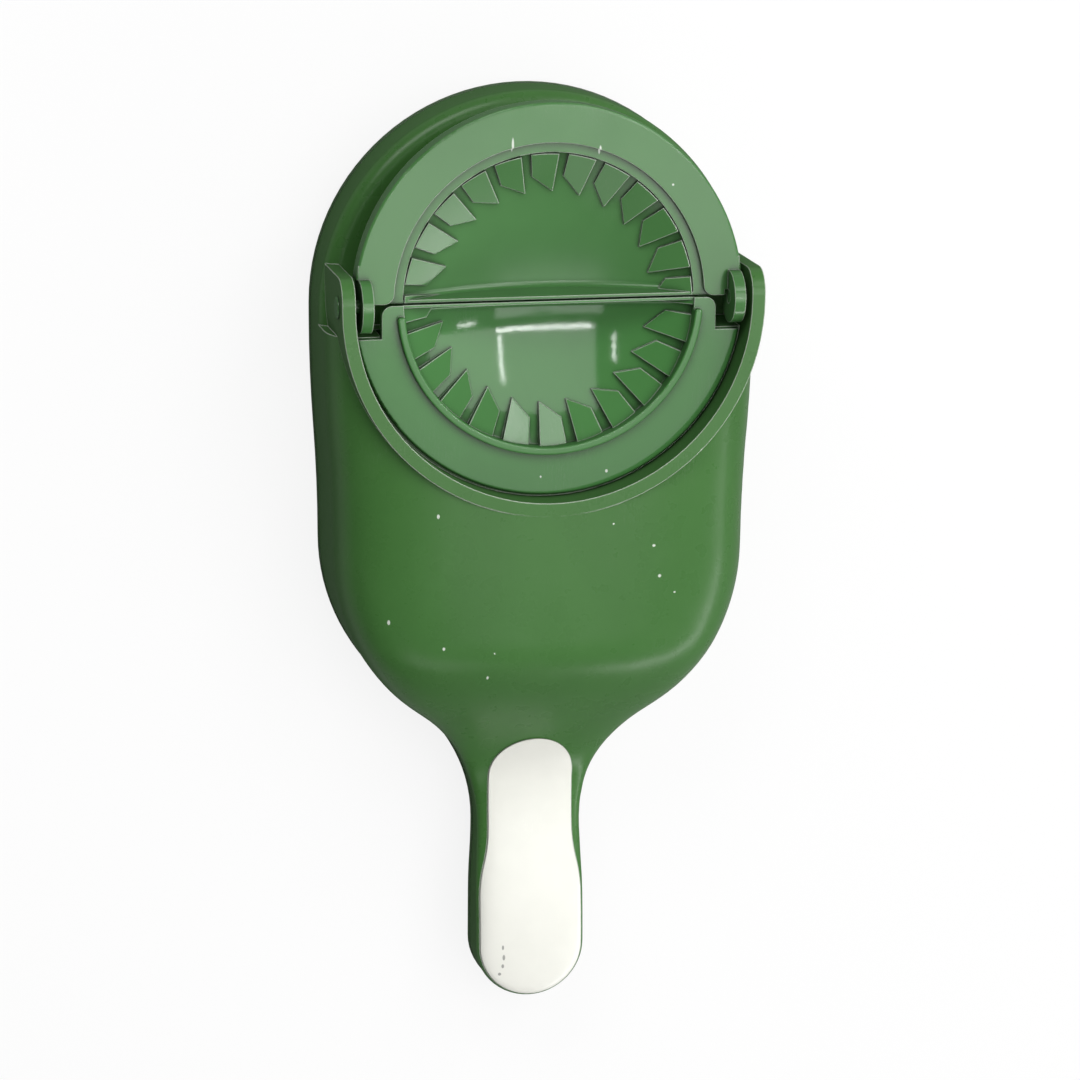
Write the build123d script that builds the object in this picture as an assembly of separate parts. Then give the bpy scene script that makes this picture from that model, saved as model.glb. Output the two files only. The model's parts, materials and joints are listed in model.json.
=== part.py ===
# A folding samosa mould on a hollow paddle: a fixed half plate, a hinged leaf and a handle with a light inlay.
# Millimetres. X runs across the paddle, Y towards the mould end, Z up.
# The origin is on the table, under the middle of the hinge. The leaf is modelled lying open.
import os
from math import atan2, copysign, cos, degrees, radians, sin, sqrt

from build123d import *

# Half bowls, about the hinge's middle
bowl_radius = 43.0
bowl_rim_drop = 3.0
bowl_depth = 12.0
bowl_wall = 2.0
bowl_lip_drop = 1.0
bowl_lip_width = 0.8
bowl_lip_draft = 1.2
bowl_bend_radius = 1.6

# Mould plates, which are half rings round the bowls
plate_rim_width = 14.5
plate_thickness = 2.6
flats_height = 42.0
seam_gap = 0.5
closed_gap = 1.6
plate_edge_round = 0.8
skirt_depth = 3.0
skirt_thickness = 1.8

# Ridge of the fixed half and the shelf of the leaf that takes it
ridge_width = 2.2
ridge_height = 2.2
ridge_end_distance = 3.4
ridge_end_round = 0.9
ridge_edge_round = 0.5
shelf_clearance = 0.7
shelf_depth = 1.6
shelf_corner_radius = 3.0

# Crimping teeth: slanted blocks round the bowl, each higher and longer at one side
tooth_count = 24
tooth_share = 0.72
tooth_high = 2.2
tooth_low = 1.1
tooth_toe_height = 0.9
tooth_reach = 12.0
tooth_short_reach = 7.2
tooth_rim_gap = 0.4
tooth_root = 0.4

# Hinge
lug_radius = 7.6
lug_thickness = 3.3
lug_inset = 1.2
lug_web_overlap = 4.0
pin_radius = 2.0
pin_running_clearance = 0.05
pin_head_radius = 3.2
pin_head_height = 0.7
pin_head_round = 0.4
notch_side_room = 3.6
notch_depth = 9.8
notch_corner_radius = 3.0

# Half round wall and its ears
wall_clearance = 0.8
wall_thickness = 3.9
ear_radius = 7.2
ear_reach = 1.5

# Paddle in plan: far arc, flanks, near arc, hollow neck, handle
body_margin = 1.7
far_arc_offset = 5.6
flank_start_offset = 9.5
near_arc_distance = 14.2
near_taper = 2.4
neck_distance = 27.1
neck_half_width = 16.0
handle_half_width = 16.7
handle_swell_run = 23.0
handle_end_run = 14.8

# Paddle in side view
shell_wall = 2.4
deck_height = 21.0
deck_edge_round = 4.5
deck_inner_round = 0.5
hump_side_height = 26.5
neck_top = 20.0
neck_side_height = 16.0
handle_rise = 4.5
handle_lift = 8.5
fall_end_distance = 13.0
crown_fall_run = 50.0
side_fall_run = 32.0
lift_run = 45.0
crown_fullness = 0.78
section_count = 40

# Base cover with a round face to stand and press on
cover_thickness = 2.0
cover_proud = 0.3
cover_rim_height = 3.0
cover_rim_thickness = 1.4
cover_rim_clearance = 0.3
foot_radius = 55.0
foot_height = 1.2
foot_y = -34.0

# Screws
screw_radius = 1.4
screw_length = 8.0
screw_head_radius = 2.8
screw_head_height = 1.6
screw_head_clearance = 0.25
screw_slot_length = 3.6
screw_slot_width = 0.7
screw_slot_depth = 1.2
post_radius = 3.6
screw_pad_height = 2.0
screw_pad_wall = 1.0
far_screw = (34.0, 30.0)
near_screw = (40.0, -84.0)
handle_screw_ys = (-112.0, -199.0)

# Handle inlay
inlay_margin_neck = 3.2
inlay_margin_wide = 1.1
inlay_start_distance = 29.0
inlay_depth = 2.2
inlay_proud = 0.5
inlay_clearance = 0.12
inlay_seat_width = 1.0

# Ribs on the deck that carry the open leaf
rest_gap = 0.3
rest_distance = 1.0
rest_angle = 56.0
rest_length = 6.0
rest_thickness = 3.0

# Snap hooks that hold the fixed half on its ledge
ledge_width = 7.5
ledge_thickness = 2.4
hook_width = 9.0
hook_thickness = 1.8
hook_catch = 1.0
hook_tip = 2.5
hook_angles = (225.0, 270.0, 315.0)
hook_gap = 0.2

# Worked out from the values above
plate_radius = bowl_radius + plate_rim_width
hinge_height = flats_height + closed_gap / 2
wall_inner_radius = plate_radius + wall_clearance
wall_outer_radius = wall_inner_radius + wall_thickness
wall_top = hinge_height + ear_radius
ridge_outer_radius = bowl_radius + ridge_width
shelf_radius = ridge_outer_radius + shelf_clearance
ledge_top = flats_height - plate_thickness
ledge_inner_radius = plate_radius - ledge_width
lug_outer_x = plate_radius - lug_inset
lug_inner_x = lug_outer_x - lug_thickness
notch_inner_x = lug_inner_x - notch_side_room
bowl_sagitta = bowl_depth - bowl_rim_drop
bowl_curve = (bowl_radius**2 + bowl_sagitta**2) / (2 * bowl_sagitta)
bowl_centre_z = flats_height - bowl_depth + bowl_curve
tooth_pitch = 360.0 / tooth_count
body_half_width = wall_outer_radius + body_margin
far_arc_y = -far_arc_offset
flank_start_y = -flank_start_offset
near_arc_y = -wall_outer_radius - near_arc_distance
near_arc_radius = body_half_width - near_taper
neck_y = near_arc_y - near_arc_radius - neck_distance
handle_wide_y = neck_y - handle_swell_run
handle_end_y = handle_wide_y - handle_end_run
fall_end_y = neck_y + fall_end_distance
crown_fall_y = fall_end_y + crown_fall_run
side_fall_y = fall_end_y + side_fall_run
lift_start_y = fall_end_y + lift_run
inlay_arch_y = neck_y + inlay_start_distance
cover_underside = foot_height
shell_underside = cover_underside + cover_thickness
screw_places = [
    (far_screw[0], far_screw[1]),
    (-far_screw[0], far_screw[1]),
    (near_screw[0], near_screw[1]),
    (-near_screw[0], near_screw[1]),
    (0.0, handle_screw_ys[0]),
    (0.0, handle_screw_ys[1]),
]
big = 400.0


def blend(y, start_y, end_y, start_value, end_value):
    """A smooth change from one value to another between two places along Y."""
    share = min(max((y - start_y) / (end_y - start_y), 0.0), 1.0)
    return start_value + (end_value - start_value) * share * share * (3 - 2 * share)


def swing(y, start_y, end_y, start_value, end_value):
    """A change between two values made by two equal arcs that meet halfway, square to the ends."""
    run = abs(end_y - start_y)
    rise = end_value - start_value
    radius = (run**2 + rise**2) / (4 * abs(rise))
    done = run * min(max((y - start_y) / (end_y - start_y), 0.0), 1.0)
    near_end = min(done, run - done)
    bend = radius - sqrt(radius**2 - near_end**2)
    change = bend if done < run / 2 else abs(rise) - bend
    return start_value + copysign(change, rise)


def swing_places(start_y, end_y, start_value, end_value):
    """Five places along such a change, each as its Y and its value."""
    ys = [start_y + (end_y - start_y) * index / 4 for index in range(5)]
    return [(y, swing(y, start_y, end_y, start_value, end_value)) for y in ys]


def two_arcs(points):
    return [ThreePointArc(*points[:3]), ThreePointArc(*points[2:])]


# The hollow neck is an arc that leaves the near arc and ends square to the handle.
neck_arc_radius = (neck_half_width**2 + (neck_y - near_arc_y) ** 2 - near_arc_radius**2) / (
    2 * (near_arc_radius - neck_half_width)
)
neck_arc_x = neck_half_width + neck_arc_radius
neck_turn = degrees(atan2(near_arc_y - neck_y, neck_arc_x))
neck_tangent_y = near_arc_y - near_arc_radius * sin(radians(neck_turn))


def half_width(y):
    """Half the paddle's width in plan, from the hinge to the middle of the handle's round end."""
    if y > near_arc_y:
        return swing(y, flank_start_y, near_arc_y, body_half_width, near_arc_radius)
    if y > neck_tangent_y:
        return sqrt(near_arc_radius**2 - (y - near_arc_y) ** 2)
    if y > neck_y:
        return neck_arc_x - sqrt(neck_arc_radius**2 - (y - neck_y) ** 2)
    return swing(y, neck_y, handle_wide_y, neck_half_width, handle_half_width)


def rise(y):
    """How much higher the handle is than the neck."""
    return blend(y, fall_end_y, handle_end_y, 0.0, handle_rise)


def crown_height(y):
    return blend(y, crown_fall_y, fall_end_y, wall_top, neck_top) + rise(y)


def side_height(y):
    return blend(y, side_fall_y, fall_end_y, hump_side_height, neck_side_height) + rise(y)


def lift(y):
    return swing(y, lift_start_y, fall_end_y, 0.0, handle_lift)


def half_crown(y, width, side, crown):
    """One side of the rounded top line, from the flank up to the middle."""
    shoulder = side + (crown - side) * crown_fullness
    return Bezier((width, y, side), (width, y, shoulder), (width * crown_fullness, y, crown), (0, y, crown))


def paddle_section(y, inset, bottom):
    """The paddle's outline across Y, drawn in by a wall's thickness, down to a given height."""
    width = half_width(y) - inset
    side = side_height(y) - inset
    right = half_crown(y, width, side, crown_height(y) - inset)
    left = right.mirror(Plane.YZ)
    edges = [
        Line((-width, y, bottom), (width, y, bottom)),
        Line((width, y, bottom), (width, y, side)),
        right,
        left,
        Line((-width, y, side), (-width, y, bottom)),
    ]
    return Face(Wire(edges))


def paddle_form(inset, bottom, start_y):
    """The near part of the paddle from the hump to the handle's round end, as one solid."""
    step = (handle_end_y - start_y) / section_count
    near = loft([paddle_section(start_y + step * index, inset, bottom) for index in range(section_count + 1)])
    y = handle_end_y
    width = half_width(y) - inset
    side = side_height(y) - inset
    crown = crown_height(y) - inset
    edges = [
        Line((0, y, bottom), (width, y, bottom)),
        Line((width, y, bottom), (width, y, side)),
        half_crown(y, width, side, crown),
        Line((0, y, crown), (0, y, bottom)),
    ]
    end = revolve(Face(Wire(edges)), Axis((0, y, 0), (0, 0, 1)), -180)
    return near + end


def plan(grow):
    """The whole paddle in plan, grown by a margin or drawn in by a negative one."""
    body = body_half_width + grow
    handle = handle_half_width + grow
    flank = swing_places(flank_start_y, near_arc_y, body_half_width, near_arc_radius)
    swell = swing_places(neck_y, handle_wide_y, neck_half_width, handle_half_width)
    right = [
        Line((body, far_arc_y), (body, flank_start_y)),
        *two_arcs([(x + grow, y) for y, x in flank]),
        CenterArc((0, near_arc_y), near_arc_radius + grow, 0, -neck_turn),
        CenterArc((neck_arc_x, neck_y), neck_arc_radius - grow, 180, -neck_turn),
        *two_arcs([(x + grow, y) for y, x in swell]),
        Line((handle, handle_wide_y), (handle, handle_end_y)),
    ]
    left = [edge.mirror(Plane.YZ) for edge in right]
    far = ThreePointArc((-body, far_arc_y), (0, far_arc_y + body), (body, far_arc_y))
    end = ThreePointArc((handle, handle_end_y), (0, handle_end_y - handle), (-handle, handle_end_y))
    return -Face(Wire([far, *right, end, *left]))


def band(low, high):
    """All of the space between two heights, which both rise with the handle."""
    far = big / 4
    near = -big

    def line(height):
        curve = two_arcs(swing_places(lift_start_y, fall_end_y, height, height + handle_lift))
        raised = height + handle_lift
        return [Line((far, height), (lift_start_y, height)), *curve, Line((fall_end_y, raised), (near, raised))]

    ends = [Line((far, low), (far, high)), Line((near, low + handle_lift), (near, high + handle_lift))]
    face = Plane.YZ.offset(-big / 4) * Face(Wire(line(low) + line(high) + ends))
    return extrude(face, big / 2, dir=(1, 0, 0))


def slab(grow, low, high):
    """A plate of the paddle's outline between two heights, which both rise with the handle."""
    return extrude(Plane.XY.offset(-big / 8) * plan(grow), big / 4) & band(low, high)


def deck_form(inset, bottom, end_y):
    """The low far end with a rounded top edge."""
    top = deck_height - inset
    outline = plan(-inset) & Pos(0, end_y + big / 2) * Rectangle(big, big)
    form = extrude(Plane.XY.offset(bottom) * outline, top - bottom)
    rim = [edge for edge in form.edges().group_by(Axis.Z)[-1] if edge.center().Y > end_y + 0.01]
    return fillet(rim, max(deck_edge_round - inset, deck_inner_round))


def y_side(from_y, to_y):
    """Everything between two places along Y."""
    return Pos(0, (from_y + to_y) / 2, 0) * Box(big, abs(to_y - from_y), big)


def upright(x, y, radius, bottom, top):
    return Pos(x, y, bottom) * Cylinder(radius, top - bottom, align=(Align.CENTER, Align.CENTER, Align.MIN))


def ring(inner, outer, bottom, top):
    return upright(0, 0, outer, bottom, top) - upright(0, 0, inner, bottom - 1, top + 1)


def across(x_from, x_to, radius, y=0.0, z=hinge_height):
    """A round bar along X."""
    bar = Cylinder(radius, abs(x_to - x_from))
    return Pos((x_from + x_to) / 2, y, z) * Rot(0, 90, 0) * bar


def both_sides(piece):
    return piece + mirror(piece, Plane.YZ)


def inlay_outline(extra):
    """The inlay in plan, grown by a clearance: an arch, sides that follow the handle, a round end."""
    neck = neck_half_width - inlay_margin_neck + extra
    wide = handle_half_width - inlay_margin_wide + extra
    arch_y = inlay_arch_y - neck
    swell = swing_places(neck_y, handle_wide_y, neck, wide)
    right = [
        Line((neck, arch_y), (neck, neck_y)),
        *two_arcs([(x, y) for y, x in swell]),
        Line((wide, handle_wide_y), (wide, handle_end_y)),
    ]
    left = [edge.mirror(Plane.YZ) for edge in right]
    arch = ThreePointArc((neck, arch_y), (0, arch_y + neck), (-neck, arch_y))
    end = ThreePointArc((wide, handle_end_y), (0, handle_end_y - wide), (-wide, handle_end_y))
    return Face(Wire([arch, *right, end, *left]))


def bowl_limit():
    """The space beside the steep lip that rises to the seam, on the fixed side."""
    lip_y = -seam_gap / 2 - bowl_lip_width
    lip_z = flats_height - bowl_lip_drop
    fall = bowl_depth - bowl_lip_drop
    reach = big / 8
    profile = Polyline(
        (-seam_gap / 2, lip_z),
        (lip_y, lip_z),
        (lip_y - reach * bowl_lip_draft / fall, lip_z - reach),
        (-big / 2, lip_z - reach),
        (-big / 2, big / 2),
        (-seam_gap / 2, big / 2),
        close=True,
    )
    return extrude(make_face(Plane.YZ * profile), big / 2, both=True)


def teeth():
    """The whole ring of teeth, trimmed to lie in the bowl's wall and above it."""
    outer = bowl_radius + tooth_root
    long_end = bowl_radius - tooth_reach
    short_end = bowl_radius - tooth_short_reach
    rim_z = flats_height - bowl_rim_drop
    toe_z = bowl_centre_z - sqrt(bowl_curve**2 - long_end**2) + tooth_toe_height
    blocks = []
    for index in range(tooth_count):
        start = (index + 0.5 + 1 - tooth_share) * tooth_pitch
        stop = (index + 1.5) * tooth_pitch

        def at(radius, angle, z):
            return Vector(radius * cos(radians(angle)), radius * sin(radians(angle)), z)

        high = at(bowl_radius, start, rim_z + tooth_high)
        low = at(bowl_radius, stop, rim_z + tooth_low)
        toe = at(long_end, start, toe_z)
        normal = (toe - high).cross(low - high).normalized()
        if normal.Z < 0:
            normal = normal * -1
        corners = [at(long_end, start, 0), at(outer, start, 0), at(outer, stop, 0), at(short_end, stop, 0)]
        plan = make_face(Polyline(*[(corner.X, corner.Y) for corner in corners], close=True))
        block = extrude(Plane.XY.offset(flats_height - bowl_depth - 2 * bowl_wall) * plan, bowl_depth + 3 * bowl_wall)
        above = Plane(origin=high, z_dir=normal) * Box(big, big, big, align=(Align.CENTER, Align.CENTER, Align.MIN))
        blocks.append(block - above)
    all_blocks = Part() + blocks
    return all_blocks & bowl_sphere(bowl_wall / 2)


def bowl_sphere(offset):
    """The sphere that shapes both bowls, or with an offset the one round their wall."""
    return Pos(0, 0, bowl_centre_z) * Rot(0, 0, 90) * Sphere(bowl_curve + offset)


def bowl_space():
    """The bowl's space on the fixed side of the seam."""
    dish = bowl_sphere(0.0) & bowl_limit()
    dish = fillet(dish.edges().group_by(Axis.Z)[0], bowl_bend_radius)
    return dish & upright(0, 0, bowl_radius, 0, big / 4)


def bowl_body():
    """The solid round the bowl on the fixed side of the seam, before its space is cut out."""
    barrel = upright(0, 0, bowl_radius + bowl_wall, 0, flats_height)
    return bowl_sphere(bowl_wall) & y_side(-big / 2, -seam_gap / 2) & barrel


def build_near_half(tooth_ring):
    near_side = y_side(-big / 2, -seam_gap / 2)
    plate = upright(0, 0, plate_radius, ledge_top, flats_height)
    plate = fillet(plate.edges().group_by(Axis.Z)[-1], plate_edge_round) & near_side
    notch = Pos(notch_inner_x + big / 2, -notch_depth / 2, 0) * Box(big, notch_depth, big)
    plate -= both_sides(notch)
    corners = [
        edge
        for edge in plate.edges().filter_by(Axis.Z)
        if abs(abs(edge.center().X) - notch_inner_x) < 0.01 and edge.center().Y > -seam_gap
    ]
    plate = fillet(corners, notch_corner_radius)
    ridge = ring(bowl_radius, ridge_outer_radius, flats_height - plate_thickness / 2, flats_height + ridge_height)
    ridge &= y_side(-big / 2, -ridge_end_distance)
    ridge = fillet(ridge.edges().filter_by(Axis.Z), ridge_end_round)
    ridge = fillet(ridge.edges().group_by(Axis.Z)[-1], ridge_edge_round)
    half = plate + bowl_body() - bowl_space() + ridge
    own_teeth = tooth_ring & near_side
    return half + [own_teeth, *[Rot(0, 0, angle) * snap_hook() for angle in hook_angles]]


def snap_hook():
    """One hook below the plate, pointing out along X, that catches under the shell's ledge."""
    outer = ledge_inner_radius - hook_gap
    inner = outer - hook_thickness
    root = ledge_top + plate_thickness / 2
    catch = ledge_top - ledge_thickness - hook_gap
    tip = catch - hook_tip
    profile = Polyline(
        (inner, root), (outer, root), (outer, catch), (outer + hook_catch, catch), (outer, tip), (inner, tip), close=True
    )
    return extrude(make_face(Plane.XZ * profile), hook_width / 2, both=True)


def build_far_half(tooth_ring):
    far_side = y_side(seam_gap / 2, big / 2)
    plate = upright(0, 0, plate_radius, ledge_top, flats_height)
    plate = fillet(plate.edges().group_by(Axis.Z)[-1], plate_edge_round)
    skirt = ring(plate_radius - skirt_thickness, plate_radius, ledge_top - skirt_depth, ledge_top)
    corner = Pos(lug_outer_x + big / 2, 0, 0) * Box(big, 2 * lug_radius, big)
    shelf = upright(0, 0, shelf_radius, flats_height - shelf_depth, big / 4)
    half = (plate + skirt) & far_side
    half += mirror(bowl_body(), Plane.XZ)
    half -= [both_sides(corner), shelf & far_side, mirror(bowl_space(), Plane.XZ)]
    corners = [
        edge
        for edge in half.edges().filter_by(Axis.Z)
        if edge.center().Y < seam_gap
        and abs(abs(edge.center().X) - shelf_radius) < shelf_clearance / 2
        and edge.center().Z > flats_height - shelf_depth
    ]
    half = fillet(corners, shelf_corner_radius)
    tooth_room = upright(0, 0, bowl_radius - tooth_rim_gap, 0, big / 4)
    own_teeth = tooth_ring & far_side & tooth_room
    lug = across(lug_inner_x, lug_outer_x, lug_radius)
    web_bottom = ledge_top - skirt_depth
    web = Box(lug_thickness, lug_radius + lug_web_overlap, flats_height - web_bottom, align=(Align.MIN, Align.MIN, Align.MIN))
    lug += Pos(lug_inner_x, 0, web_bottom) * web
    bore = across(lug_inner_x - 1, lug_outer_x + 1, pin_radius + pin_running_clearance)
    return half + [own_teeth, both_sides(lug)] - both_sides(bore)


def inlay_space(grow, top_form, below, above):
    """The inlay's outline between two surfaces that follow the paddle's top."""
    block = extrude(inlay_outline(grow), big / 4)
    return (block & Pos(0, 0, above) * top_form) - Pos(0, 0, -below) * top_form


def build_shell(top_form):
    inner_start_y = flank_start_y - shell_wall
    outer = deck_form(0.0, 0.0, flank_start_y) + top_form
    hollow = deck_form(shell_wall, -1.0, inner_start_y) + paddle_form(shell_wall, -1.0, inner_start_y)
    wall_bottom = deck_height - shell_wall
    wall = ring(wall_inner_radius, wall_outer_radius, wall_bottom, wall_top) & y_side(-big / 2, 0)
    column = Box(wall_thickness, ear_reach + ear_radius, hinge_height - wall_bottom, align=(Align.MIN, Align.MIN, Align.MIN))
    top = Box(wall_thickness, ear_reach, ear_radius, align=(Align.MIN, Align.MIN, Align.MIN))
    end = across(wall_inner_radius, wall_outer_radius, ear_radius, ear_reach) & y_side(ear_reach, big / 2)
    ear = Pos(wall_inner_radius, 0, wall_bottom) * column + Pos(wall_inner_radius, 0, hinge_height) * top + end
    ledge = ring(ledge_inner_radius, wall_outer_radius, ledge_top - ledge_thickness, ledge_top)
    ledge &= y_side(-big / 2, flank_start_y)
    posts = [upright(x, y, post_radius, shell_underside + lift(y) + screw_pad_height, big / 8) for x, y in screw_places]
    seat = inlay_space(inlay_seat_width, top_form, inlay_depth + shell_wall, 0.0)
    outer += [wall, both_sides(ear)]
    hollow -= [wall, ledge, seat, *posts]
    near_side = y_side(-big / 2, 0)
    well = upright(0, 0, wall_inner_radius, ledge_top, big / 4) & near_side
    bowl_room = upright(0, 0, ledge_inner_radius, flats_height - bowl_depth - bowl_wall - rest_gap, big / 4) & near_side
    pocket = inlay_space(inlay_clearance, top_form, inlay_depth, inlay_proud)
    pilots = [
        upright(x, y, screw_radius, 0, cover_underside + lift(y) + screw_head_clearance + screw_head_height + screw_length)
        for x, y in screw_places
    ]
    bore = both_sides(across(wall_inner_radius - 1, wall_outer_radius + 1, pin_radius))
    shell = outer - [hollow, well, bowl_room, pocket, bore, band(-big / 8, shell_underside), *pilots]
    rib_height = ledge_top - rest_gap - deck_height + shell_wall / 2
    rib = Box(rest_length, rest_thickness, rib_height, align=(Align.MIN, Align.CENTER, Align.MIN))
    rib = Pos(bowl_radius + bowl_wall + rest_distance, 0, deck_height - shell_wall / 2) * rib
    return shell + [Rot(0, 0, rest_angle) * rib, Rot(0, 0, 180 - rest_angle) * rib]


def build_cover():
    inner = -shell_wall - cover_rim_clearance
    rim_low = shell_underside - cover_thickness / 2
    rim_high = shell_underside + cover_rim_height
    rim = slab(inner, rim_low, rim_high) - slab(inner - cover_rim_thickness, rim_low - 1, rim_high + 1)
    foot = upright(0, foot_y, foot_radius, 0, shell_underside)
    pads = [
        upright(x, y, post_radius + screw_pad_wall, cover_underside + lift(y), shell_underside + lift(y) + screw_pad_height)
        for x, y in screw_places
    ]
    heads = [
        upright(x, y, screw_head_radius + screw_head_clearance, -1,
                cover_underside + lift(y) + screw_head_height + screw_head_clearance)
        for x, y in screw_places
    ]
    passages = [upright(x, y, screw_radius + screw_head_clearance, -1, big / 8) for x, y in screw_places]
    return slab(cover_proud, cover_underside, shell_underside) + [rim, foot, *pads] - [*heads, *passages]


def build_screws():
    screws = []
    for x, y in screw_places:
        seat = cover_underside + lift(y) + screw_head_clearance
        head_top = seat + screw_head_height
        head = upright(x, y, screw_head_radius, seat, head_top)
        shank = upright(x, y, screw_radius, head_top, head_top + screw_length)
        slot = Box(screw_slot_length, screw_slot_width, 2 * screw_slot_depth)
        screws.append(head + shank - [Pos(x, y, seat) * slot, Pos(x, y, seat) * Rot(0, 0, 90) * slot])
    return Compound(children=screws)


def build_pin(side):
    shaft = across(lug_inner_x, wall_outer_radius, pin_radius)
    head = across(wall_outer_radius, wall_outer_radius + pin_head_height, pin_head_radius)
    rim = head.edges().filter_by(GeomType.CIRCLE).group_by(Axis.X)[-1]
    pin = shaft + fillet(rim, pin_head_round)
    return pin if side > 0 else mirror(pin, Plane.YZ)


def build_inlay(top_form):
    return inlay_space(0.0, top_form, inlay_depth, inlay_proud)


tooth_ring = teeth()
top_form = paddle_form(0.0, 0.0, flank_start_y)
pieces = {
    "body_shell": build_shell(top_form),
    "near_mould_half": build_near_half(tooth_ring),
    "far_mould_half": build_far_half(tooth_ring),
    "hinge_pin_left": build_pin(-1),
    "hinge_pin_right": build_pin(1),
    "handle_inlay": build_inlay(top_form),
    "base_cover": build_cover(),
    "cover_screws": build_screws(),
}

os.makedirs("parts", exist_ok=True)
for name, piece in pieces.items():
    export_step(piece, f"parts/{name}.step")
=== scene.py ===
# The looks of a folding samosa mould: glossy green moulded plastic, a cream handle inlay, white ground.
# Metres, in the same frame as the solids: the hinge lies along X, the handle points to -Y, Z is up.
import json
from math import pi, radians

import bmesh
import bpy
from mathutils import Matrix, Vector

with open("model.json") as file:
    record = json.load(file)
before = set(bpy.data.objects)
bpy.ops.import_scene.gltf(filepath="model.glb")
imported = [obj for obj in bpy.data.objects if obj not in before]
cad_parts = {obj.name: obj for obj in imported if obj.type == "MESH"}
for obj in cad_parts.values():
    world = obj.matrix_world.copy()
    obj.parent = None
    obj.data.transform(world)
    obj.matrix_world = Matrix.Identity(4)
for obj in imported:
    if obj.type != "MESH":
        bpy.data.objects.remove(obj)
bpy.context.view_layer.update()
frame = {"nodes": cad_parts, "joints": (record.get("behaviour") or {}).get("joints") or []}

mm = 0.001
hinge_place = Vector(frame["joints"][0]["pos_m"])
flats_height = hinge_place.z - 0.8 * mm

# Camera, as turns from looking straight down and the distance to the hinge
camera_lens = 133.33
camera_lean_up = 13.61
camera_lean_left = 12.37
camera_roll = -0.53
camera_aside = (3.0 * mm, 69.1 * mm)
camera_distance = 1155.8 * mm

# Height of the lights that hang over the mould
panel_height = flats_height + 1.0

# Colours as linear values
body_green = (0.056, 0.168, 0.039, 1.0)
mould_green = (0.060, 0.200, 0.052, 1.0)
leaf_green = (0.068, 0.200, 0.058, 1.0)
pin_green = (0.055, 0.180, 0.048, 1.0)
cover_green = (0.050, 0.145, 0.034, 1.0)
inlay_cream = (0.91, 0.91, 0.84, 1.0)
screw_zinc = (0.62, 0.62, 0.60, 1.0)
# Pale colour of dust specks, scratches and marks, also used for painted highlights on edges
dust_and_highlight_white = (0.75, 0.80, 0.72, 1.0)
scuff_grey = (0.30, 0.30, 0.28, 1.0)
# Dark green of painted shade, in corners, narrow gaps and on upright walls
painted_shade_green = (0.010, 0.032, 0.008, 1.0)

# How strongly the wear shows, 1 being in full
wall_roughness = 0.45
scratch_share = 0.12
mark_share = 0.85
haze_share = 0.05
ripple_share = 0.6

# The ground: its greys as the camera and as the lights see it, and how much of it glows
ground_seen = (0.90, 0.90, 0.90, 1.0)
ground_unseen = (0.30, 0.30, 0.30, 1.0)
ground_glow = 0.86
ground_glow_in_gloss = 0.10
ground_half_size = 3.0

# The studio's own light, from dim on the left to brighter on the right
world_dim = 0.10
world_bright = 0.42
world_change = 0.6

# Distance from the hinge's middle to the inner ends of the teeth
tooth_ring_radius = 32.5 * mm


def node(tree, kind, values=None, **settings):
    """Adds a shader node, sets its settings, and gives its inputs values or links."""
    made = tree.nodes.new(kind)
    for name, setting in settings.items():
        setattr(made, name, setting)
    for name, value in (values or {}).items():
        if isinstance(value, bpy.types.NodeSocket):
            tree.links.new(value, made.inputs[name])
        else:
            made.inputs[name].default_value = value
    return made


def math_node(tree, operation, first, second=0.5, third=None):
    """One step of arithmetic on numbers or sockets."""
    values = {0: first, 1: second}
    if third is not None:
        values[2] = third
    return node(tree, "ShaderNodeMath", values, operation=operation).outputs[0]


def smooth_range(tree, value, low, high, start=0.0, stop=1.0):
    """Runs smoothly from start to stop while value goes from low to high."""
    values = {"Value": value, "From Min": low, "From Max": high, "To Min": start, "To Max": stop}
    return node(tree, "ShaderNodeMapRange", values, interpolation_type="SMOOTHSTEP").outputs["Result"]


def mix_colors(tree, share, first, second, blend="MIX"):
    """The first colour, with the given share of the second."""
    made = node(tree, "ShaderNodeMix", {0: share}, data_type="RGBA", blend_type=blend)
    for index, value in ((6, first), (7, second)):
        if isinstance(value, bpy.types.NodeSocket):
            tree.links.new(value, made.inputs[index])
        else:
            made.inputs[index].default_value = value
    return made.outputs[2]


def group(name, inputs, outputs):
    """An empty node group with named sockets, and its input and output nodes."""
    tree = bpy.data.node_groups.new(name, "ShaderNodeTree")
    for label, kind, default in inputs:
        socket = tree.interface.new_socket(label, in_out="INPUT", socket_type=kind)
        if default is not None:
            socket.default_value = default
    for label, kind in outputs:
        tree.interface.new_socket(label, in_out="OUTPUT", socket_type=kind)
    return tree, tree.nodes.new("NodeGroupInput").outputs, tree.nodes.new("NodeGroupOutput").inputs


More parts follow.
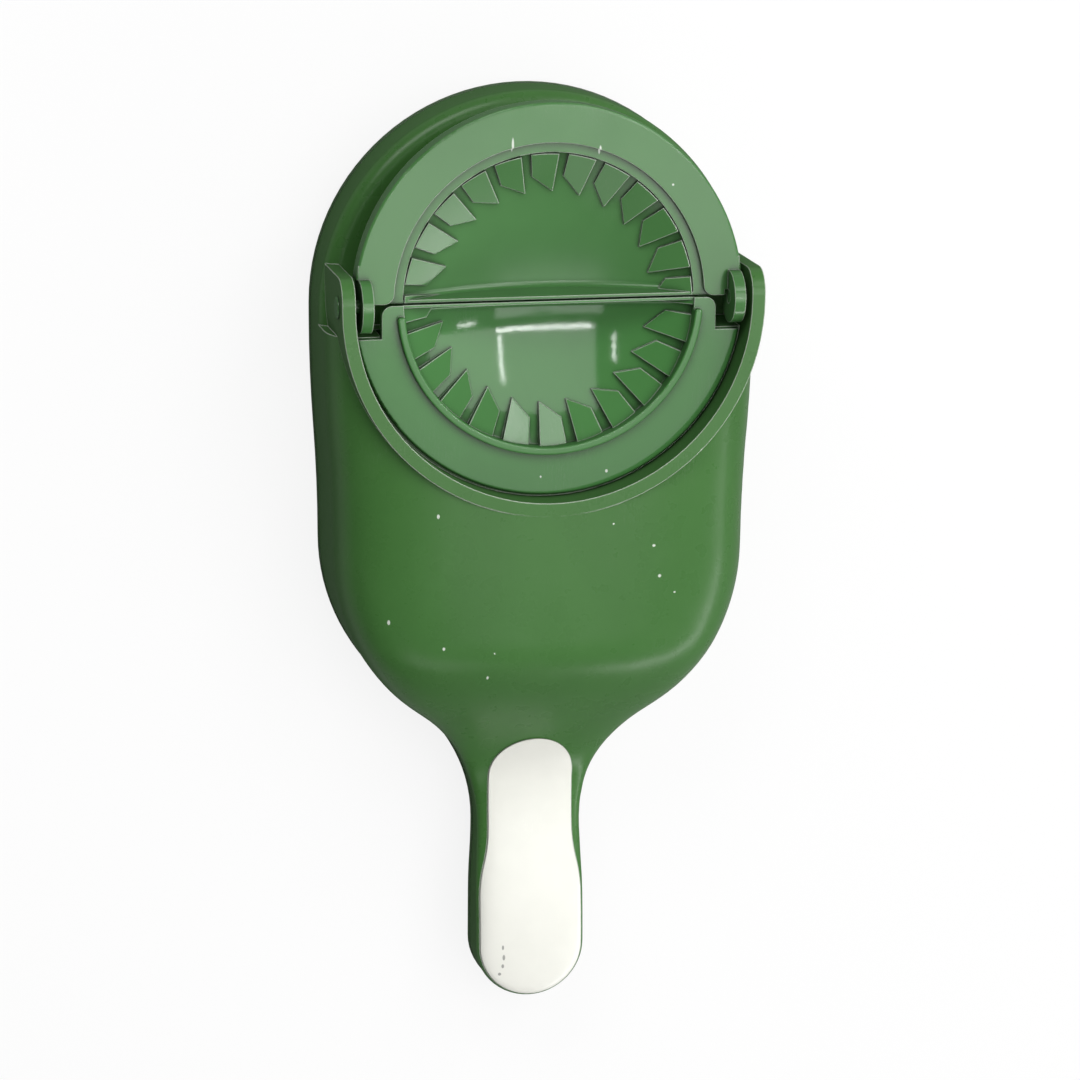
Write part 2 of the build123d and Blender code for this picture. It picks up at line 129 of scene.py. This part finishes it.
def moulded_skin_group():
    """Moulded plastic: slow changes of tone where the plastic flowed, fine grain, uneven gloss."""
    tree, given, result = group(
        "moulded skin",
        [
            ("Color", "NodeSocketColor", (0.1, 0.3, 0.1, 1.0)),
            ("Tone Change", "NodeSocketFloat", 0.1),
            ("Roughness", "NodeSocketFloat", 0.25),
            ("Gloss Change", "NodeSocketFloat", 0.08),
            ("Grain", "NodeSocketFloat", 0.3),
        ],
        [("Color", "NodeSocketColor"), ("Roughness", "NodeSocketFloat"), ("Height", "NodeSocketFloat")],
    )
    place = node(tree, "ShaderNodeTexCoord").outputs["Object"]
    drawn_out = node(tree, "ShaderNodeMapping", {"Vector": place, "Scale": (1.0, 0.35, 1.0)}).outputs[0]
    flow_look = {"Vector": drawn_out, "Scale": 26.0, "Detail": 3.0, "Distortion": 1.2}
    flow = node(tree, "ShaderNodeTexNoise", flow_look)
    haze = node(tree, "ShaderNodeTexNoise", {"Vector": place, "Scale": 150.0, "Detail": 4.0})
    grain = node(tree, "ShaderNodeTexNoise", {"Vector": place, "Scale": 1400.0, "Detail": 3.0})
    ripple = node(tree, "ShaderNodeTexNoise", {"Vector": place, "Scale": 60.0, "Detail": 1.0})
    flow_change = math_node(tree, "SUBTRACT", flow.outputs[0], 0.5)
    haze_change = math_node(tree, "SUBTRACT", haze.outputs[0], 0.5)
    tone = math_node(tree, "MULTIPLY_ADD", flow_change, given["Tone Change"], 1.0)
    fine = math_node(tree, "MULTIPLY_ADD", haze_change, haze_share, tone)
    shade = node(tree, "ShaderNodeCombineColor", {0: fine, 1: fine, 2: fine}).outputs[0]
    tree.links.new(mix_colors(tree, 1.0, given["Color"], shade, "MULTIPLY"), result["Color"])
    uneven = math_node(tree, "MULTIPLY", haze_change, given["Gloss Change"])
    tree.links.new(math_node(tree, "ADD", uneven, given["Roughness"]), result["Roughness"])
    peel = math_node(tree, "MULTIPLY", grain.outputs[0], given["Grain"])
    tree.links.new(math_node(tree, "MULTIPLY_ADD", ripple.outputs[0], ripple_share, peel), result["Height"])
    return tree


def handling_marks_group():
    """Dust specks and hair scratches, as two masks."""
    tree, given, result = group(
        "handling marks",
        [("Specks", "NodeSocketFloat", 0.5), ("Scratches", "NodeSocketFloat", 0.5)],
        [("Specks", "NodeSocketFloat"), ("Scratches", "NodeSocketFloat")],
    )
    place = node(tree, "ShaderNodeTexCoord").outputs["Object"]
    bent = node(tree, "ShaderNodeTexNoise", {"Vector": place, "Scale": 700.0, "Detail": 2.0})
    bend = {0: bent.outputs["Color"], "Scale": 0.0011}
    shift = node(tree, "ShaderNodeVectorMath", bend, operation="SCALE")
    near = node(tree, "ShaderNodeVectorMath", {0: place, 1: shift.outputs[0]}, operation="ADD").outputs[0]
    cells = node(tree, "ShaderNodeTexVoronoi", {"Vector": near, "Scale": 55.0}, feature="F1")
    chance = node(tree, "ShaderNodeSeparateColor", {0: cells.outputs["Color"]})
    reach = math_node(tree, "MULTIPLY", chance.outputs[1], 0.045)
    dot = math_node(tree, "LESS_THAN", cells.outputs["Distance"], reach)
    kept = math_node(tree, "LESS_THAN", chance.outputs[0], given["Specks"])
    tree.links.new(math_node(tree, "MULTIPLY", dot, kept), result["Specks"])
    strands = []
    for turn, stretch in ((25.0, 18.0), (-50.0, 14.0), (80.0, 22.0)):
        along = {"Vector": place, "Rotation": (0.0, 0.0, radians(turn)), "Scale": (stretch, 1.0, 1.0)}
        lie = node(tree, "ShaderNodeMapping", along).outputs[0]
        lines = node(tree, "ShaderNodeTexNoise", {"Vector": lie, "Scale": 70.0, "Detail": 2.0})
        near_line = math_node(tree, "ABSOLUTE", math_node(tree, "SUBTRACT", lines.outputs[0], 0.5))
        strands.append(smooth_range(tree, near_line, 0.0, 0.006, 1.0, 0.0))
    patches = node(tree, "ShaderNodeTexNoise", {"Vector": place, "Scale": 40.0, "Detail": 2.0})
    worn = smooth_range(tree, patches.outputs[0], 0.52, 0.7)
    all_lines = math_node(tree, "MAXIMUM", math_node(tree, "MAXIMUM", strands[0], strands[1]), strands[2])
    hair = math_node(tree, "MULTIPLY", all_lines, worn)
    tree.links.new(math_node(tree, "MULTIPLY", hair, given["Scratches"]), result["Scratches"])
    return tree


def soft_edge_group():
    """Moulded edges: a rounded normal, and a mask of where the edges are, for painted edge highlights."""
    tree, given, result = group(
        "soft edge",
        [("Radius", "NodeSocketFloat", 0.0005)],
        [("Normal", "NodeSocketVector"), ("Edge", "NodeSocketFloat")],
    )
    rounded = node(tree, "ShaderNodeBevel", {"Radius": given["Radius"]}, samples=6).outputs[0]
    true_normal = node(tree, "ShaderNodeNewGeometry").outputs["Normal"]
    same = node(tree, "ShaderNodeVectorMath", {0: rounded, 1: true_normal}, operation="DOT_PRODUCT")
    tree.links.new(rounded, result["Normal"])
    tree.links.new(smooth_range(tree, same.outputs["Value"], 0.99, 0.80), result["Edge"])
    return tree


def crevice_group():
    """Corners and narrow gaps, where painted shade darkens the plastic, and the upright walls, which get
    painted shade and more roughness.
    """
    tree, given, result = group(
        "crevices and walls",
        [("Reach", "NodeSocketFloat", 0.0032)],
        [("Crevice", "NodeSocketFloat"), ("Wall", "NodeSocketFloat")],
    )
    openness = node(tree, "ShaderNodeAmbientOcclusion", {"Distance": given["Reach"]}, samples=6)
    tree.links.new(smooth_range(tree, openness.outputs["AO"], 0.90, 0.50), result["Crevice"])
    true_normal = node(tree, "ShaderNodeNewGeometry").outputs["Normal"]
    upward = node(tree, "ShaderNodeSeparateXYZ", {0: true_normal}).outputs[2]
    tree.links.new(smooth_range(tree, upward, 0.50, 0.12), result["Wall"])
    return tree


moulded_skin = moulded_skin_group()
handling_marks = handling_marks_group()
soft_edge = soft_edge_group()
crevices_and_walls = crevice_group()


def inside_teeth(tree):
    """A mask of the bowl's floor, within the ring of teeth."""
    place = node(tree, "ShaderNodeTexCoord").outputs["Object"]
    flat = node(tree, "ShaderNodeVectorMath", {0: place, 1: (1.0, 1.0, 0.0)}, operation="MULTIPLY")
    away = node(tree, "ShaderNodeVectorMath", {0: flat.outputs[0]}, operation="LENGTH").outputs["Value"]
    return smooth_range(tree, away, tooth_ring_radius + 1.0 * mm, tooth_ring_radius - 1.0 * mm)


def marks_at(tree, spots):
    """A mask of small marks, each given by its place across and along and its half sizes, in mm."""
    place = node(tree, "ShaderNodeTexCoord").outputs["Object"]
    total = None
    for x, y, half_across, half_along in spots:
        spread = (1 / (half_across * mm), 1 / (half_along * mm), 0.0)
        shift = (-x / half_across, -y / half_along, 0.0)
        from_spot = node(tree, "ShaderNodeMapping", {"Vector": place, "Location": shift, "Scale": spread})
        away = node(tree, "ShaderNodeVectorMath", {0: from_spot.outputs[0]}, operation="LENGTH")
        dot = smooth_range(tree, away.outputs["Value"], 1.0, 0.6)
        total = dot if total is None else math_node(tree, "MAXIMUM", total, dot)
    return total


def plastic(name, color, roughness, edge, tone=0.25, specks=0.2, scratches=0.35, radius=0.5 * mm, crevice_shade=0.85,
            wall_shade=0.15, specular=0.5, bowl_roughness=0.0, marks=(), marks_color=dust_and_highlight_white):
    """A moulded plastic of one colour with its own gloss and wear, painted shade in corners, gaps and on
    upright walls, and painted highlights on its edges. Edge is how pale its edges are painted.
    """
    material = bpy.data.materials.new(name)
    material.use_nodes = True
    tree = material.node_tree
    shader = tree.nodes["Principled BSDF"]
    skin = node(tree, "ShaderNodeGroup", node_tree=moulded_skin)
    for label, value in (("Color", color), ("Tone Change", tone), ("Roughness", roughness)):
        skin.inputs[label].default_value = value
    handling = node(tree, "ShaderNodeGroup", node_tree=handling_marks)
    handling.inputs["Specks"].default_value = specks
    handling.inputs["Scratches"].default_value = scratches
    rim = node(tree, "ShaderNodeGroup", node_tree=soft_edge)
    rim.inputs["Radius"].default_value = radius
    hollows = node(tree, "ShaderNodeGroup", node_tree=crevices_and_walls).outputs
    # Painted shade: upright walls are darkened, as sides that the light misses
    shade = math_node(tree, "MULTIPLY", hollows["Wall"], wall_shade)
    wall_shaded = mix_colors(tree, shade, skin.outputs["Color"], painted_shade_green)
    # Painted highlight: edges are made paler, standing in for light caught on rounded rims
    edge_highlight = math_node(tree, "MULTIPLY", rim.outputs["Edge"], edge)
    highlighted = mix_colors(tree, edge_highlight, wall_shaded, dust_and_highlight_white)
    # Painted shade: corners and narrow gaps are darkened where shade falls
    shade_in_corners = math_node(tree, "MULTIPLY", hollows["Crevice"], crevice_shade)
    crevice_shaded = mix_colors(tree, shade_in_corners, highlighted, painted_shade_green)
    faint_lines = math_node(tree, "MULTIPLY", handling.outputs["Scratches"], scratch_share)
    scratched = mix_colors(tree, faint_lines, crevice_shaded, dust_and_highlight_white)
    surface = mix_colors(tree, handling.outputs["Specks"], scratched, dust_and_highlight_white)
    if marks:
        placed = math_node(tree, "MULTIPLY", marks_at(tree, marks), mark_share)
        surface = mix_colors(tree, placed, surface, marks_color)
    rougher = math_node(tree, "ADD", faint_lines, skin.outputs["Roughness"])
    rougher = math_node(tree, "MULTIPLY_ADD", hollows["Wall"], wall_roughness, rougher)
    if bowl_roughness:
        rougher = math_node(tree, "MULTIPLY_ADD", inside_teeth(tree), bowl_roughness, rougher)
    bump = node(tree, "ShaderNodeBump", {"Height": skin.outputs["Height"], "Normal": rim.outputs["Normal"],
                                         "Strength": 0.12, "Distance": 0.15 * mm})
    tree.links.new(surface, shader.inputs["Base Color"])
    tree.links.new(rougher, shader.inputs["Roughness"])
    tree.links.new(bump.outputs[0], shader.inputs["Normal"])
    shader.inputs["IOR"].default_value = 1.49
    shader.inputs["Specular IOR Level"].default_value = specular
    return material


def zinc(name, color):
    """Plated steel with blotchy tone and gloss, and softly rounded edges."""
    material = bpy.data.materials.new(name)
    material.use_nodes = True
    tree = material.node_tree
    shader = tree.nodes["Principled BSDF"]
    place = node(tree, "ShaderNodeTexCoord").outputs["Object"]
    blotch = node(tree, "ShaderNodeTexNoise", {"Vector": place, "Scale": 900.0, "Detail": 4.0})
    tint = mix_colors(tree, blotch.outputs[0], color, (0.45, 0.46, 0.47, 1.0))
    tree.links.new(tint, shader.inputs["Base Color"])
    tree.links.new(smooth_range(tree, blotch.outputs[0], 0.3, 0.7, 0.25, 0.42), shader.inputs["Roughness"])
    rim = node(tree, "ShaderNodeGroup", node_tree=soft_edge)
    rim.inputs["Radius"].default_value = 0.25 * mm
    tree.links.new(rim.outputs["Normal"], shader.inputs["Normal"])
    shader.inputs["Metallic"].default_value = 1.0
    return material


def wear(name, material):
    """Gives a piece its material."""
    piece = frame["nodes"][name]
    piece.data.materials.clear()
    piece.data.materials.append(material)


# Dust and small nicks: place across and along the paddle and half sizes, in mm
body_specks = (
    (-34.0, -61.2, 0.5, 0.8), (30.3, -72.4, 0.6, 0.5), (32.2, -81.7, 0.6, 0.6), (37.0, -87.0, 0.4, 0.3),
    (-32.2, -101.0, 0.5, 0.6), (-18.9, -110.7, 0.4, 0.7), (-47.9, -93.2, 0.5, 0.9), (44.3, -44.1, 0.9, 0.6),
)
mould_specks = ((17.3, -51.0, 0.5, 0.6), (-2.4, -52.0, 0.3, 0.4))
leaf_nicks = ((-11.4, 45.5, 0.4, 2.4), (14.3, 43.5, 0.4, 1.6), (36.0, 33.0, 0.4, 0.4))
inlay_marks = (
    (-9.0, -202.6, 0.4, 0.9), (-8.7, -205.8, 0.5, 1.1), (-9.0, -208.6, 0.5, 0.8), (-9.9, -211.2, 0.6, 0.6),
)

body_plastic = plastic(
    "body green plastic", body_green, 0.28, 0.9, radius=0.6 * mm, crevice_shade=0.15, specular=0.32, marks=body_specks
)
mould_plastic = plastic("mould green plastic", mould_green, 0.06, 0.85, marks=mould_specks)
leaf_plastic = plastic("leaf green plastic", leaf_green, 0.15, 0.8, bowl_roughness=0.05, marks=leaf_nicks)
pin_plastic = plastic("pin green plastic", pin_green, 0.2, 0.6)
inlay_plastic = plastic(
    "inlay cream plastic", inlay_cream, 0.25, 0.0, tone=0.05, specks=0.05, crevice_shade=0.3, wall_shade=0.0,
    marks=inlay_marks, marks_color=scuff_grey
)
cover_plastic = plastic("cover green plastic", cover_green, 0.35, 0.25, scratches=0.6)

wear("body_shell", body_plastic)
wear("near_mould_half", mould_plastic)
wear("far_mould_half", leaf_plastic)
wear("hinge_pin_left", pin_plastic)
wear("hinge_pin_right", pin_plastic)
wear("handle_inlay", inlay_plastic)
wear("base_cover", cover_plastic)
wear("cover_screws", zinc("screw zinc", screw_zinc))


def floor_material():
    """White ground that still takes a faint shadow."""
    material = bpy.data.materials.new("white ground")
    material.use_nodes = True
    tree = material.node_tree
    tree.nodes.remove(tree.nodes["Principled BSDF"])
    rays = node(tree, "ShaderNodeLightPath").outputs
    pale = mix_colors(tree, rays["Is Camera Ray"], ground_unseen, ground_seen)
    matt = node(tree, "ShaderNodeBsdfDiffuse", {"Color": pale})
    glow = node(tree, "ShaderNodeEmission", {"Color": (1.0, 1.0, 1.0, 1.0), "Strength": 1.0})
    seen = math_node(tree, "MAXIMUM", rays["Is Camera Ray"], rays["Is Transmission Ray"])
    in_gloss = math_node(tree, "MULTIPLY", rays["Is Glossy Ray"], ground_glow_in_gloss)
    glowing = math_node(tree, "MULTIPLY", seen, ground_glow)
    share = math_node(tree, "MAXIMUM", glowing, in_gloss)
    mixed = node(tree, "ShaderNodeMixShader", {0: share, 1: matt.outputs[0], 2: glow.outputs[0]})
    tree.links.new(mixed.outputs[0], tree.nodes["Material Output"].inputs["Surface"])
    return material


def make_floor():
    """The level ground that the foot stands on."""
    mesh = bpy.data.meshes.new("ground")
    shape = bmesh.new()
    bmesh.ops.create_grid(shape, x_segments=2, y_segments=2, size=ground_half_size)
    shape.to_mesh(mesh)
    shape.free()
    ground = bpy.data.objects.new("ground", mesh)
    bpy.context.scene.collection.objects.link(ground)
    mesh.materials.append(floor_material())


def lit_panel(name, width, height, brightness):
    """A flat rectangle of even brightness. Brightness 1 is white."""
    light = bpy.data.lights.new(name, "AREA")
    light.shape = "RECTANGLE"
    light.size = width
    light.size_y = height
    light.energy = brightness * pi * width * height
    lamp = bpy.data.objects.new(name, light)
    bpy.context.scene.collection.objects.link(lamp)
    return lamp


def softbox(name, place, width, height, brightness):
    """A lit panel that faces the hinge."""
    lamp = lit_panel(name, width, height, brightness)
    facing = (hinge_place - Vector(place)).to_track_quat("-Z", "Y").to_matrix().to_4x4()
    lamp.matrix_world = Matrix.Translation(place) @ facing


def panel(name, low_x, high_x, low_y, high_y, brightness, raised=0.0):
    """A lit panel that hangs level over the mould, given by its edges in mm from the hinge's middle."""
    lamp = lit_panel(name, (high_x - low_x) * mm, (high_y - low_y) * mm, brightness)
    lamp.location = ((low_x + high_x) / 2 * mm, (low_y + high_y) / 2 * mm, panel_height + raised)


def make_world():
    """White where the camera sees it, and soft light from the right elsewhere."""
    world = bpy.data.worlds.new("studio")
    bpy.context.scene.world = world
    world.use_nodes = True
    tree = world.node_tree
    sky = tree.nodes["Background"]
    rays = node(tree, "ShaderNodeLightPath").outputs
    sky.inputs["Color"].default_value = (1.0, 1.0, 1.0, 1.0)
    direction = node(tree, "ShaderNodeTexCoord").outputs["Generated"]
    across = node(tree, "ShaderNodeSeparateXYZ", {0: direction}).outputs[0]
    dim_left = smooth_range(tree, across, -world_change, world_change, world_dim, world_bright)
    seen = math_node(tree, "MAXIMUM", rays["Is Camera Ray"], dim_left)
    tree.links.new(seen, sky.inputs["Strength"])


def make_camera():
    """The photo's camera."""
    data = bpy.data.cameras.new("camera")
    data.sensor_width = 36.0
    data.lens = camera_lens
    data.clip_start = 0.01
    camera = bpy.data.objects.new("camera", data)
    bpy.context.scene.collection.objects.link(camera)
    turn = Matrix.Rotation(radians(-camera_lean_left), 4, "Y")
    turn @= Matrix.Rotation(radians(-camera_lean_up), 4, "X")
    turn @= Matrix.Rotation(radians(-camera_roll), 4, "Z")
    away = turn @ Vector((-camera_aside[0], -camera_aside[1], camera_distance))
    camera.matrix_world = Matrix.Translation(Vector((0, 0, flats_height)) + away) @ turn
    bpy.context.scene.camera = camera


make_floor()
make_world()
panel("light over the leaf", -90, 490, -200, -78, 2.6)
panel("dim light over the body", -90, 490, -345, -200, 1.3)
panel("light over the near bowl", -60, 1150, -30, 460, 2.3, 0.05)
panel("light over the near teeth", 350, 900, 600, 950, 4.0)
panel("strip across", -40, 480, -20, -8, 34.0)
panel("strip on the right", 457, 466, 10, 265, 40.0)
panel("strip on the left", -154, -146, 25, 165, 32.0)
panel("short strip", 630, 770, -72, -60, 26.0)
softbox("key box", (0.62, 0.80, 0.72), 0.5, 0.4, 3.5)
softbox("low strip on the right", (0.74, -0.74, 0.45), 1.1, 0.16, 6.5)
softbox("box behind the mould", (-0.45, 1.0, 0.80), 0.9, 0.5, 4.4)
softbox("fill box", (-0.3, -1.0, 0.9), 0.7, 0.5, 1.2)
make_camera()

scene = bpy.context.scene
scene.view_settings.view_transform = "Standard"
